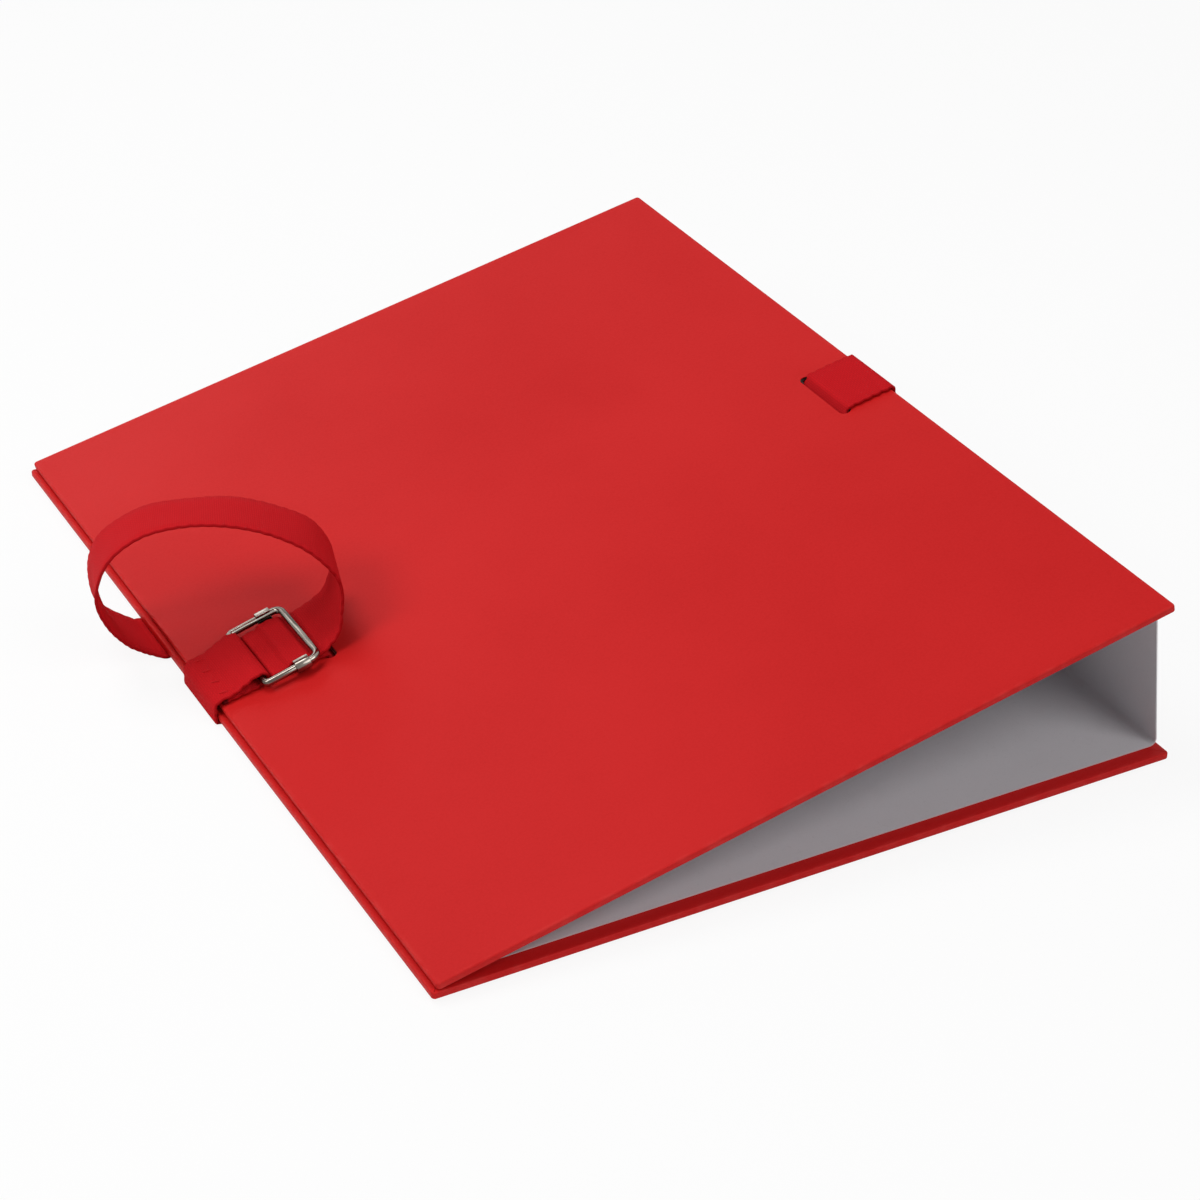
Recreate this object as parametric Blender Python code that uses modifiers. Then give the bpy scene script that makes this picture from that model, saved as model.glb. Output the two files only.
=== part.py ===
"""Expanding document file held shut by a webbing strap with a wire buckle.

Two stiff covers in red covering cloth are joined by one creased grey sheet, which lines both covers and
stands up between them as the spine. A strap runs through slots in the covers, round the spine and back to a
buckle on the front cover, where its free tail stands up in a loop.

Metres, +Z up. The origin is the middle of the back cover's outer face. X runs from the opening edge to the
spine, and Y along the spine.
"""

import math

import bmesh
import bpy
from mathutils import Matrix, Vector

# Covers: a board wrapped in covering cloth, whose turned-in edges lie under the lining.
COVER_WIDTH = 0.240
COVER_LENGTH = 0.320
COVER_CORNER_RADIUS = 0.0012
BOARD_THICKNESS = 0.0016
COVERING_THICKNESS = 0.00025
TURN_IN = 0.018
GLUE_GAP = 0.0001
COVER_THICKNESS = BOARD_THICKNESS + 2 * COVERING_THICKNESS + 2 * GLUE_GAP

# The creased sheet: the linings, the two creases and the spine.
SHEET_THICKNESS = 0.0004
SHEET_MARGIN = 0.005
SPINE_HEIGHT = 0.0446
SPINE_LEAN = math.radians(6.3)
BACK_SPINE_INSET = 0.0012
FRONT_SPINE_INSET = 0.0031
CREASE_RADIUS = 0.0018

# The gap that neighbouring pieces keep, and the gap under the front cover where its opening edge rests.
CLEARANCE = 0.0003
EDGE_REST_GAP = 0.0003

# The strap and the slots that it runs through.
STRAP_WIDTH = 0.026
STRAP_THICKNESS = 0.001
STRAP_OFFSET = 0.002
SLOT_WIDTH = 0.004
SLOT_END_SPARE = 0.0015
SLOT_SLANT = 0.0015
OPENING_SLOT = 0.037
SPINE_SLOT = 0.0177

# The buckle: a bent wire frame, and a sheet-metal slide that grips the strap against the frame's free bar.
WIRE_DIAMETER = 0.0023
WIRE_JOINT_GAP = 0.0003
BUCKLE_SETBACK = 0.0146
BUCKLE_LENGTH = 0.0181
BUCKLE_SIDE_SPARE = 0.0012
FIXED_CORNER_RADIUS = 0.0016
FREE_CORNER_RADIUS = 0.0028
SLIDE_LENGTH = 0.0048
SLIDE_SHEET = 0.0007
SLIDE_SETBACK = 0.027
SLIDE_RUNNING_GAP = 0.00015
SLIDE_LIP = 0.0012

# The buckle's end of the strap: the length folded back under itself, and the seam that closes the fold.
FOLD_END_SETBACK = 0.001
SEAM_SETBACK = 0.0025
SEAM_LENGTH = 0.003
SEAM_ROWS = 4
SEAM_PITCH = 0.0066
SEAM_SLANT = 0.001
FLAT_PAST_SEAM = 0.0025
RISE_BEND = 0.005
THREAD_DIAMETER = 0.0005
THREAD_BEND = 0.0005

# The strap's threading at the buckle, from the opening edge: its turn left of the slide.
STRAP_TURN_SETBACK = 0.0179
STRAP_RAMP = 0.0016

# The free tail's loop: places from the front cover's opening edge, from the strap's middle line and above its
# second layer there, each with the direction across the strap to its near edge.
TAIL_LOOP = (
    ((0.0355, 0.0000, 0.0000), (0.00, -1.00, 0.00)),
    ((0.0418, 0.0006, 0.0021), (-0.07, -0.99, 0.08)),
    ((0.0462, 0.0013, 0.0059), (-0.18, -0.97, 0.16)),
    ((0.0501, 0.0024, 0.0161), (-0.27, -0.95, 0.18)),
    ((0.0468, 0.0054, 0.0270), (-0.33, -0.93, 0.16)),
    ((0.0386, 0.0097, 0.0352), (-0.31, -0.93, 0.20)),
    ((0.0279, 0.0147, 0.0415), (-0.30, -0.93, 0.22)),
    ((0.0152, 0.0197, 0.0450), (-0.30, -0.92, 0.26)),
    ((0.0027, 0.0241, 0.0456), (-0.35, -0.91, 0.22)),
    ((-0.0081, 0.0276, 0.0411), (-0.39, -0.91, 0.11)),
    ((-0.0142, 0.0308, 0.0326), (-0.40, -0.90, -0.18)),
    ((-0.0156, 0.0346, 0.0215), (-0.21, -0.92, -0.33)),
    ((-0.0139, 0.0386, 0.0090), (0.01, -0.96, -0.27)),
    ((-0.0108, 0.0406, 0.0017), (0.09, -0.98, -0.17)),
)
# The tail's end lies under the back cover: places from its opening edge, and above its level at rest.
TAIL_END = ((-0.0043, 0.0021), (-0.0003, 0.00014), (0.008, 0.0), (0.018, 0.0))
TAIL_END_SIDE = 0.0417

BEND_STEP = math.radians(15)
CORNER_SEGMENTS = 3
SPLINE_STEPS = 5
CUTTER_SPARE = 0.002


def new_collection(name):
    collection = bpy.data.collections.new(name)
    bpy.context.scene.collection.children.link(collection)
    return collection


def new_material(name, colour, roughness, metallic=0.0):
    material = bpy.data.materials.new(name)
    material.use_nodes = True
    shader = material.node_tree.nodes["Principled BSDF"]
    shader.inputs["Base Color"].default_value = (*colour, 1.0)
    shader.inputs["Roughness"].default_value = roughness
    shader.inputs["Metallic"].default_value = metallic
    return material


for old in list(bpy.data.objects):
    bpy.data.objects.remove(old)
PARTS = new_collection("strap_document_file")
CUTTERS = new_collection("cutters")

BOARD = new_material("grey_board", (0.30, 0.28, 0.26), 0.9)
COVERING = new_material("red_covering", (0.55, 0.035, 0.03), 0.55)
SHEET = new_material("grey_sheet", (0.22, 0.21, 0.22), 0.7)
WEBBING = new_material("red_webbing", (0.50, 0.015, 0.02), 0.75)
THREAD = new_material("red_thread", (0.45, 0.02, 0.02), 0.7)
NICKEL = new_material("nickel_plate", (0.72, 0.68, 0.62), 0.22, 1.0)

# How the creased sheet stands: the back lining, the lower crease, the spine, the upper crease, and the front
# lining. Both bends have the sheet's middle surface on one radius, and start in from their cover's spine edge.
SHEET_DEPTH = COVER_THICKNESS + GLUE_GAP + SHEET_THICKNESS / 2
BEND_RADIUS = CREASE_RADIUS + SHEET_THICKNESS / 2
BACK_CREASE = COVER_WIDTH - BACK_SPINE_INSET - CREASE_RADIUS - SHEET_THICKNESS
FRONT_CREASE = COVER_WIDTH - FRONT_SPINE_INSET - CREASE_RADIUS - SHEET_THICKNESS
BACK_EDGE = Vector((-COVER_WIDTH / 2, 0, 0))
LOWER_BEND = math.pi / 2 + SPINE_LEAN


def heading(angle):
    return Vector((math.cos(angle), 0, math.sin(angle)))


def left_of(angle):
    return Vector((-math.sin(angle), 0, math.cos(angle)))


LOWER_CENTRE = BACK_EDGE + Vector((BACK_CREASE, 0, SHEET_DEPTH + BEND_RADIUS))
SPINE_FOOT = LOWER_CENTRE - BEND_RADIUS * left_of(LOWER_BEND)
SPINE_HEAD = SPINE_FOOT + SPINE_HEIGHT * heading(LOWER_BEND)
UPPER_CENTRE = SPINE_HEAD + BEND_RADIUS * left_of(LOWER_BEND)


def front_edge(slope):
    """Where the front cover's outer opening edge is when the cover slopes down from the spine at this angle."""
    lining_end = UPPER_CENTRE + BEND_RADIUS * left_of(slope)
    return lining_end - FRONT_CREASE * heading(slope) + SHEET_DEPTH * left_of(slope)


def resting_slope():
    """The slope at which the front cover's opening edge, or its lining's, comes down on the back cover."""
    flat, steep = 0.0, math.pi / 3
    for _ in range(60):
        slope = (flat + steep) / 2
        gaps = []
        for x, depth in ((0, COVER_THICKNESS), (SHEET_MARGIN, SHEET_DEPTH + SHEET_THICKNESS / 2)):
            inner_edge = front_edge(slope) + x * heading(slope) - depth * left_of(slope)
            gaps.append(inner_edge.z - depth)
        if min(gaps) > EDGE_REST_GAP:
            flat = slope
        else:
            steep = slope
    return (flat + steep) / 2


SLOPE = resting_slope()
FRONT_EDGE = front_edge(SLOPE)
UPPER_BEND = math.pi + SLOPE - LOWER_BEND


def fold_axis(crease_start, bend):
    """A crease's fold axis, along the lining and in from the cover, which keeps the sheet's length."""
    along = crease_start + BEND_RADIUS * bend / 2
    depth = SHEET_DEPTH + BEND_RADIUS * (1 - bend / 2 / math.tan(bend / 2))
    return along, depth


def back_point(x, depth):
    """A place by the back cover: x from its opening edge, depth inwards from its outer face."""
    return BACK_EDGE + Vector((x, 0, depth))


def front_point(x, height, y=0.0):
    """A place by the front cover: x from its opening edge, height outwards from its outer face."""
    return FRONT_EDGE + x * heading(SLOPE) + height * left_of(SLOPE) + Vector((0, y, 0))


# Levels of the strap's middle surface: inside a cover, and outside it in one layer or two. It bends round a
# cover's edge at the same distance. The buckle's bars lie on these layers, with the strap between its arms.
STRAP_INSIDE = SHEET_DEPTH + SHEET_THICKNESS / 2 + CLEARANCE + STRAP_THICKNESS / 2
STRAP_OUTSIDE = CLEARANCE + STRAP_THICKNESS / 2
STRAP_SECOND = STRAP_OUTSIDE + CLEARANCE + STRAP_THICKNESS
STRAP_BEND = STRAP_OUTSIDE
WIRE_RADIUS = WIRE_DIAMETER / 2
BUCKLE_WIDTH = STRAP_WIDTH + 2 * BUCKLE_SIDE_SPARE + WIRE_DIAMETER
FIXED_BAR_HEIGHT = STRAP_OUTSIDE + STRAP_THICKNESS / 2 + CLEARANCE + WIRE_RADIUS
FREE_BAR_HEIGHT = STRAP_SECOND + STRAP_THICKNESS / 2 + CLEARANCE + WIRE_RADIUS
FRAME_TILT = math.atan2(FREE_BAR_HEIGHT - FIXED_BAR_HEIGHT, BUCKLE_LENGTH)
FREE_BAR_SETBACK = BUCKLE_SETBACK + BUCKLE_LENGTH * math.cos(FRAME_TILT)
FIXED_BAR = front_point(BUCKLE_SETBACK, FIXED_BAR_HEIGHT, STRAP_OFFSET)
SLIDE_ALONG = (SLIDE_SETBACK - BUCKLE_SETBACK) / math.cos(FRAME_TILT)


def pivot(name, position, parent=None):
    """An empty on a joint's axis, which carries the pieces that turn or slide there."""
    empty = bpy.data.objects.new(name, None)
    empty.location = position - (world_of(parent) if parent else Vector())
    empty.parent = parent
    PARTS.objects.link(empty)
    return empty


def world_of(empty):
    return empty.location + (world_of(empty.parent) if empty.parent else Vector())


def place(piece, carrier, origin=Vector(), turn=(0, 0, 0)):
    """Hangs a piece on its carrier, with its own frame at a place in the object's frame and turned."""
    piece.parent = carrier
    piece.location = origin - world_of(carrier)
    piece.rotation_euler = turn
    return piece


def new_piece(name, data, material):
    data.materials.append(material)
    piece = bpy.data.objects.new(name, data)
    PARTS.objects.link(piece)
    return piece


def slab_mesh(name, spans, corner_radius=0.0):
    """A box between three pairs of limits, with its upright edges rounded."""
    mesh = bmesh.new()
    bmesh.ops.create_cube(mesh, size=1.0)
    size = Vector([abs(high - low) for low, high in spans])
    bmesh.ops.scale(mesh, vec=size, verts=mesh.verts)
    bmesh.ops.translate(mesh, vec=[(low + high) / 2 for low, high in spans], verts=mesh.verts)
    if corner_radius:
        upright = [e for e in mesh.edges if abs(e.verts[0].co.z - e.verts[1].co.z) > size.z / 2]
        bmesh.ops.bevel(
            mesh, geom=upright, offset=corner_radius, segments=CORNER_SEGMENTS, profile=0.5, affect="EDGES"
        )
    data = bpy.data.meshes.new(name)
    mesh.to_mesh(data)
    mesh.free()
    return data


def cut(piece, carrier, origin, turn, name, spans, corner_radius=0.0):
    """Cuts a box out of a piece."""
    cutter = bpy.data.objects.new(name, slab_mesh(name, spans, corner_radius))
    cutter.hide_render = True
    cutter.display_type = "WIRE"
    CUTTERS.objects.link(cutter)
    place(cutter, carrier, origin, turn)
    difference = piece.modifiers.new(name, "BOOLEAN")
    difference.operation = "DIFFERENCE"
    difference.object = cutter


def rounded_path(corners):
    """Points along a bent strip seen from its edge. A corner is its two coordinates and its bend radius."""
    points = []
    for i, (x, z, radius) in enumerate(corners):
        corner = Vector((x, z))
        if not radius:
            points.append(corner)
            continue
        before = (Vector(corners[i - 1][:2]) - corner).normalized()
        after = (Vector(corners[i + 1][:2]) - corner).normalized()
        opening = before.angle(after)
        centre = corner + (before + after).normalized() * radius / math.sin(opening / 2)
        arm = corner + before * radius / math.tan(opening / 2) - centre
        turn = math.copysign(math.pi - opening, -before.cross(after))
        steps = math.ceil(abs(turn) / BEND_STEP)
        points += [centre + Matrix.Rotation(turn * k / steps, 2) @ arm for k in range(steps + 1)]
    # Two bends that follow on each other share a point.
    return [b for a, b in zip([None, *points], points) if a is None or (b - a).length > GLUE_GAP / 2]


def poly_curve(name, points, dimensions, cyclic=False):
    data = bpy.data.curves.new(name, "CURVE")
    data.dimensions = dimensions
    spline = data.splines.new("POLY")
    spline.points.add(len(points) - 1)
    for control, point in zip(spline.points, points):
        control.co = (*point, *([0.0] * (3 - len(point))), 1.0)
    spline.use_cyclic_u = cyclic
    return data


def strip(name, path, width, thickness, material, carrier, y, origin=Vector(), turn=0.0):
    """A sheet or strap of constant section: its path lies in the XZ plane, and its width along Y."""
    data = poly_curve(name, path, "2D")
    data.extrude = width / 2
    piece = new_piece(name, data, material)
    solidify = piece.modifiers.new("thickness", "SOLIDIFY")
    solidify.thickness = thickness
    solidify.offset = 0.0
    solidify.use_even_offset = True
    return place(piece, carrier, origin + Vector((0, y, 0)), (math.pi / 2, turn, 0))


def xz(point):
    return (point.x, point.z)


def arc(centre, first, last):
    """A crease's middle surface, from one heading of the sheet to another, short of its neighbours' ends."""
    spare = CLEARANCE / 2 / BEND_RADIUS
    steps = math.ceil((last - first) / BEND_STEP)
    angles = [first + spare + (last - first - 2 * spare) * k / steps for k in range(steps + 1)]
    return [xz(centre - BEND_RADIUS * left_of(angle)) for angle in angles]


def cover_pieces(side, carrier, origin, turn, inward, crease_start):
    """The covering, board and lining of one cover, in a frame whose X starts at the opening edge.

    Depths are measured from the cover's outer face, and inward is the sign of Z towards the lining, which ends
    where its crease starts.
    """

    def slab(name, material, inset_x, inset_y, depths, corner_radius):
        spans = (inset_x, (inset_y - COVER_LENGTH / 2, COVER_LENGTH / 2 - inset_y), depth_span(depths))
        piece = new_piece(name, slab_mesh(name, spans, corner_radius), material)
        return place(piece, carrier, origin, turn)

    def depth_span(depths):
        return sorted(inward * depth for depth in depths)

    def cut_slots(piece):
        half_length = STRAP_WIDTH / 2 + SLOT_END_SPARE
        for end, middle in (("opening", OPENING_SLOT), ("spine", COVER_WIDTH - SPINE_SLOT)):
            spans = (
                (middle - SLOT_WIDTH / 2, middle + SLOT_WIDTH / 2),
                (STRAP_OFFSET - half_length, STRAP_OFFSET + half_length),
                depth_span((-CUTTER_SPARE, COVER_THICKNESS + SHEET_THICKNESS + CUTTER_SPARE)),
            )
            cut(piece, carrier, origin, turn, f"{piece.name}_{end}_slot", spans)

    wall = COVERING_THICKNESS
    board_inset = wall + GLUE_GAP
    covering = slab(
        f"{side}_covering", COVERING, (0, COVER_WIDTH), 0, (0, COVER_THICKNESS), COVER_CORNER_RADIUS
    )
    plain_middle = (OPENING_SLOT + SLOT_WIDTH * 2, COVER_WIDTH - SPINE_SLOT - SLOT_WIDTH * 4)
    mesh = bmesh.new()
    mesh.from_mesh(covering.data)
    for x in plain_middle:
        bmesh.ops.bisect_plane(
            mesh, geom=[*mesh.verts, *mesh.edges, *mesh.faces], plane_co=(x, 0, 0), plane_no=(1, 0, 0)
        )
    mesh.to_mesh(covering.data)
    mesh.free()
    cavity = (
        (wall, COVER_WIDTH - wall),
        (wall - COVER_LENGTH / 2, COVER_LENGTH / 2 - wall),
        depth_span((wall, COVER_THICKNESS - wall)),
    )
    cut(covering, carrier, origin, turn, f"{side}_covering_cavity", cavity, COVER_CORNER_RADIUS - wall)
    window = (
        (TURN_IN, COVER_WIDTH - TURN_IN),
        (TURN_IN - COVER_LENGTH / 2, COVER_LENGTH / 2 - TURN_IN),
        depth_span((COVER_THICKNESS / 2, COVER_THICKNESS + CUTTER_SPARE)),
    )
    cut(covering, carrier, origin, turn, f"{side}_covering_window", window)
    cut_slots(covering)

    board = slab(
        f"{side}_board",
        BOARD,
        (board_inset, COVER_WIDTH - board_inset),
        board_inset,
        (board_inset, board_inset + BOARD_THICKNESS),
        COVER_CORNER_RADIUS - board_inset,
    )
    cut_slots(board)

    lining_end = crease_start - CLEARANCE / 2
    lining_depths = (SHEET_DEPTH - SHEET_THICKNESS / 2, SHEET_DEPTH + SHEET_THICKNESS / 2)
    lining = slab(f"{side}_lining", SHEET, (SHEET_MARGIN, lining_end), SHEET_MARGIN, lining_depths, 0.0)
    cut_slots(lining)


def spine_pieces(back, spine, front):
    """The spine, and the two rounded creases that it folds on."""
    length = COVER_LENGTH - 2 * SHEET_MARGIN
    end_gap = CLEARANCE / 2 * heading(LOWER_BEND)
    panel = [xz(SPINE_FOOT + end_gap), xz(SPINE_HEAD - end_gap)]
    strip("spine_panel", panel, length, SHEET_THICKNESS, SHEET, spine, 0)
    lower = arc(LOWER_CENTRE, 0, LOWER_BEND)
    strip("spine_lower_crease", lower, length, SHEET_THICKNESS, SHEET, back, 0)
    upper = arc(UPPER_CENTRE, LOWER_BEND, LOWER_BEND + UPPER_BEND)
    strip("spine_upper_crease", upper, length, SHEET_THICKNESS, SHEET, front, 0)


def strap(name, path, carrier, origin=Vector(), turn=0.0):
    return strip(name, path, STRAP_WIDTH, STRAP_THICKNESS, WEBBING, carrier, STRAP_OFFSET, origin, turn)


def slot_passage(slot_x, outwards, depth):
    """Where the strap slants through a slot at a depth. It comes out towards the spine or, negative, away."""
    share = (STRAP_INSIDE - depth) / (STRAP_INSIDE + STRAP_OUTSIDE)
    return slot_x + math.copysign(SLOT_SLANT, outwards) * (2 * share - 1)


def strap_runs(back, spine, front):
    """The strap along the inside of each cover, out of its spine slot and round its spine edge.

    The back run also comes out of the opening slot, passes under the cover and wraps its opening edge.
    """
    slot_x = COVER_WIDTH - SPINE_SLOT
    past_edge = COVER_WIDTH + STRAP_OUTSIDE
    wrap_end = COVER_THICKNESS - CLEARANCE
    spine_side = [
        (slot_passage(OPENING_SLOT, -1, STRAP_INSIDE), STRAP_INSIDE, STRAP_BEND),
        (slot_passage(slot_x, 1, STRAP_INSIDE), STRAP_INSIDE, STRAP_BEND),
        (slot_passage(slot_x, 1, -STRAP_OUTSIDE), -STRAP_OUTSIDE, STRAP_BEND),
        (past_edge, -STRAP_OUTSIDE, STRAP_BEND),
        (past_edge, wrap_end, 0),
    ]
    opening_side = [
        (-STRAP_OUTSIDE, wrap_end, 0),
        (-STRAP_OUTSIDE, -STRAP_OUTSIDE, STRAP_BEND),
        (slot_passage(OPENING_SLOT, -1, -STRAP_OUTSIDE), -STRAP_OUTSIDE, STRAP_BEND),
    ]
    strap("strap_back_run", rounded_path(opening_side + spine_side), back, BACK_EDGE)
    in_slot = [(slot_passage(OPENING_SLOT, -1, CLEARANCE), CLEARANCE, 0)]
    front_run = [(x, -depth, bend) for x, depth, bend in in_slot + spine_side]
    strap("strap_front_run", rounded_path(front_run), front, FRONT_EDGE, -SLOPE)

    # Between the covers' edges the strap bows out past the spine on one smooth curve, split at its middle.
    low = back_point(past_edge, wrap_end + CLEARANCE)
    high = front_point(past_edge, -wrap_end - CLEARANCE)
    reach = (high - low).length / 3
    handles = (low, low + reach * Vector((0, 0, 1)), high + reach * -left_of(SLOPE), high)
    steps = 16
    bow = [bezier(handles, k / steps) for k in range(steps + 1)]
    middle = steps // 2
    half_gap = (bow[middle + 1] - bow[middle]).normalized() * CLEARANCE / 2
    lower = [*bow[:middle], bow[middle] - half_gap]
    upper = [bow[middle] + half_gap, *bow[middle + 1 :]]
    strap("strap_spine_lower", [xz(point) for point in lower], spine)
    strap("strap_spine_upper", [xz(point) for point in upper], spine)


def bezier(handles, t):
    a, b, c, d = handles
    s = 1 - t
    return s**3 * a + 3 * s * s * t * b + 3 * s * t * t * c + t**3 * d


def buckle_end(carrier):
    """The strap's fixed end: over both opening edges, round the frame's fixed bar, and back under itself."""
    cut_end = back_point(-STRAP_OUTSIDE, COVER_THICKNESS)
    over_edge = front_point(0, STRAP_SECOND)
    over_edge += heading(SLOPE) * (cut_end.x - over_edge.x) / math.cos(SLOPE)
    wrap = WIRE_RADIUS + CLEARANCE + STRAP_THICKNESS / 2
    edge_bend = STRAP_SECOND + STRAP_BEND
    corners = [
        (cut_end, 0),
        (over_edge, edge_bend),
        (front_point(SEAM_SETBACK + FLAT_PAST_SEAM, STRAP_SECOND), RISE_BEND),
        (front_point(BUCKLE_SETBACK - wrap, FIXED_BAR_HEIGHT + wrap), RISE_BEND / 2),
        (front_point(BUCKLE_SETBACK + wrap, FIXED_BAR_HEIGHT + wrap), wrap),
        (front_point(BUCKLE_SETBACK + wrap, FIXED_BAR_HEIGHT - wrap), wrap),
        (front_point(FOLD_END_SETBACK, STRAP_OUTSIDE), 0),
    ]
    path = rounded_path([(*xz(point), bend) for point, bend in corners])
    strap("strap_buckle_end", path, carrier)

    # The seam's thread: short stitches along the strap, with a long one back from each to the next.
    level = STRAP_SECOND + STRAP_THICKNESS / 2 + GLUE_GAP + THREAD_DIAMETER / 2
    turns = []
    for row in range(SEAM_ROWS):
        y = STRAP_OFFSET + SEAM_PITCH * ((SEAM_ROWS - 1) / 2 - row)
        turns.append((SEAM_SETBACK - SEAM_LENGTH / 2, y + SEAM_SLANT / 2, THREAD_BEND))
        turns.append((SEAM_SETBACK + SEAM_LENGTH / 2, y - SEAM_SLANT / 2, THREAD_BEND))
    turns[0] = (*turns[0][:2], 0)
    turns[-1] = (*turns[-1][:2], 0)
    points = [front_point(x, level, y) for x, y in rounded_path(turns)]
    thread = new_piece("buckle_seam", poly_curve("buckle_seam", points, "3D"), THREAD)
    thread.data.bevel_depth = THREAD_DIAMETER / 2
    thread.data.bevel_resolution = 1
    thread.data.use_fill_caps = True
    place(thread, carrier)


def buckle_frame(carrier):
    """A rectangle of round wire, bent up from one length whose ends meet in the middle of the fixed bar."""
    half = BUCKLE_WIDTH / 2
    corners = [
        (0, WIRE_JOINT_GAP / 2, 0),
        (0, half, FIXED_CORNER_RADIUS),
        (BUCKLE_LENGTH, half, FREE_CORNER_RADIUS),
        (BUCKLE_LENGTH, -half, FREE_CORNER_RADIUS),
        (0, -half, FIXED_CORNER_RADIUS),
        (0, -WIRE_JOINT_GAP / 2, 0),
    ]
    wire = new_piece("buckle_frame", poly_curve("buckle_frame", rounded_path(corners), "3D"), NICKEL)
    wire.data.bevel_depth = WIRE_RADIUS
    wire.data.bevel_resolution = 3
    wire.data.use_fill_caps = True
    place(wire, carrier, FIXED_BAR, (0, -SLOPE - FRAME_TILT, 0))


def buckle_slide(carrier):
    """A plate under the strap, whose two ends are curled round the frame's arms to run along them."""
    half = BUCKLE_WIDTH / 2
    grip = WIRE_RADIUS + SLIDE_RUNNING_GAP + SLIDE_SHEET / 2
    curl = [
        (half - SLIDE_LIP, grip, 0),
        (half + grip, grip, grip),
        (half + grip, -grip, grip),
    ]
    section = rounded_path([*curl, *[(-y, z, bend) for y, z, bend in reversed(curl)]])
    data = poly_curve("buckle_slide", section, "2D")
    data.extrude = SLIDE_LENGTH / 2
    piece = new_piece("buckle_slide", data, NICKEL)
    solidify = piece.modifiers.new("sheet", "SOLIDIFY")
    solidify.thickness = SLIDE_SHEET
    solidify.offset = 0.0
    solidify.use_even_offset = True
    centre = FIXED_BAR + SLIDE_ALONG * heading(SLOPE + FRAME_TILT)
    place(piece, carrier, centre)
    along = heading(SLOPE + FRAME_TILT)
    upright = left_of(SLOPE + FRAME_TILT)
    across = Vector((0, 1, 0))
    piece.rotation_euler = Matrix((across, upright, along)).transposed().to_euler()


def smooth_curve(points):
    """Points along a smooth curve through the given ones."""
    ends = [2 * points[0] - points[1], *points, 2 * points[-1] - points[-2]]
    found = []
    for a, b, c, d in zip(ends, ends[1:], ends[2:], ends[3:]):
        for k in range(SPLINE_STEPS):
            t = k / SPLINE_STEPS
            bend = (2 * a - 5 * b + 4 * c - d) * t * t + (3 * b - a - 3 * c + d) * t**3
            found.append((2 * b + (c - a) * t + bend) / 2)
    return [*found, points[-1]]


def strap_tail(carrier):
    """The strap from the opening slot: under the bar and the slide, back over the slide, and away in a loop."""
    slide_rise = (SLIDE_ALONG + SLIDE_LENGTH / 2) * math.sin(FRAME_TILT)
    slide_top = FIXED_BAR_HEIGHT + slide_rise - WIRE_RADIUS - SLIDE_RUNNING_GAP
    over_slide = slide_top + CLEARANCE + STRAP_THICKNESS / 2
    slide_start = SLIDE_SETBACK - SLIDE_LENGTH / 2 - CLEARANCE
    slide_end = SLIDE_SETBACK + SLIDE_LENGTH / 2 + CLEARANCE
    turn = (STRAP_SECOND - STRAP_OUTSIDE) / 2
    threading = [
        (slot_passage(OPENING_SLOT, -1, 0), 0, 0),
        (slot_passage(OPENING_SLOT, -1, -STRAP_OUTSIDE), STRAP_OUTSIDE, STRAP_BEND),
        (STRAP_TURN_SETBACK, STRAP_OUTSIDE, turn),
        (STRAP_TURN_SETBACK, STRAP_SECOND, turn),
        (slide_start - STRAP_RAMP, STRAP_SECOND, STRAP_BEND),
        (slide_start, over_slide, STRAP_BEND),
        (slide_end, over_slide, STRAP_BEND),
        (slide_end + STRAP_RAMP, STRAP_SECOND, STRAP_BEND),
        (FREE_BAR_SETBACK, STRAP_SECOND, 0),
    ]
    near = Vector((0, -1, 0))
    stations = [(front_point(x, z, STRAP_OFFSET), near) for x, z in rounded_path(threading)]

    centres = [front_point(x, STRAP_SECOND + above, STRAP_OFFSET + y) for (x, y, above), _ in TAIL_LOOP]
    sides = [x * heading(SLOPE) + z * left_of(SLOPE) + Vector((0, y, 0)) for _, (x, y, z) in TAIL_LOOP]
    for x, above in TAIL_END:
        centres.append(back_point(x, above - STRAP_OUTSIDE) + Vector((0, STRAP_OFFSET + TAIL_END_SIDE, 0)))
        sides.append(near)
    loop = zip(smooth_curve(centres), smooth_curve(sides))
    stations += [(centre, side.normalized()) for centre, side in loop]

    mesh = bmesh.new()
    last = len(stations) - 1
    bmesh.ops.create_grid(mesh, x_segments=1, y_segments=last, size=1.0)
    for vert in mesh.verts:
        centre, side = stations[round((vert.co.y + 1) / 2 * last)]
        vert.co = centre + side * vert.co.x * STRAP_WIDTH / 2
    data = bpy.data.meshes.new("strap_tail")
    mesh.to_mesh(data)
    mesh.free()
    piece = new_piece("strap_tail", data, WEBBING)
    solidify = piece.modifiers.new("thickness", "SOLIDIFY")
    solidify.thickness = STRAP_THICKNESS
    solidify.offset = 0.0
    solidify.use_even_offset = True
    place(piece, carrier)


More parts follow.
